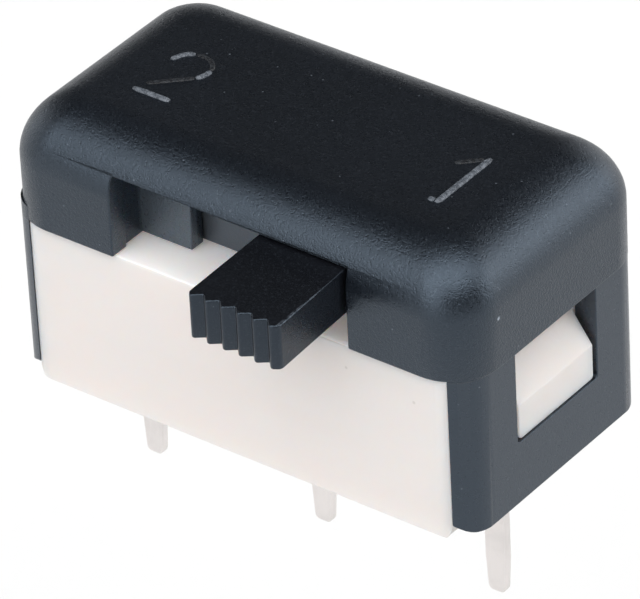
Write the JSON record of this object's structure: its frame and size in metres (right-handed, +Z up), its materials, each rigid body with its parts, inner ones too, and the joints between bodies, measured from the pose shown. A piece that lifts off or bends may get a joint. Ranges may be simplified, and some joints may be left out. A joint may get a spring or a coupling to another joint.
{
  "type": "slide switch",
  "caption": "Slide switch for a circuit board, with a side lever that bridges the common pin to one of the two outer pins.",
  "frame": {"origin": "centre of the body's footprint, on the underside of the base, which is the plane of the circuit board", "axes": "+X along the body's length towards the numeral 1, -Y out of the lever's side, +Z up away from the board"},
  "size_m": [0.0134, 0.0098, 0.0112],
  "materials": {
    "base_white": "warm white moulded plastic, satin",
    "cover_black": "black moulded plastic with a fine spark texture",
    "slider_black": "black moulded plastic, fine matte",
    "terminal_tin": "brass sheet with bright tin plating",
    "clip_bronze": "phosphor bronze strip, satin",
    "spring_wire": "drawn spring wire",
    "ball_steel": "polished steel ball"
  },
  "bodies": {
    "housing": {"base": "base_white", "cover": "cover_black", "terminal_1": "terminal_tin", "terminal_2": "terminal_tin", "terminal_3": "terminal_tin"},
    "slider": {"slider": "slider_black", "moving_contact": "clip_bronze", "detent_spring": "spring_wire", "detent_ball": "ball_steel"}
  },
  "joints": [
    {"name": "lever_slide", "type": "slide", "parent": "housing", "child": "slider", "axis": [-1, 0, 0], "range_m": [0, 0.00275]}
  ]
}
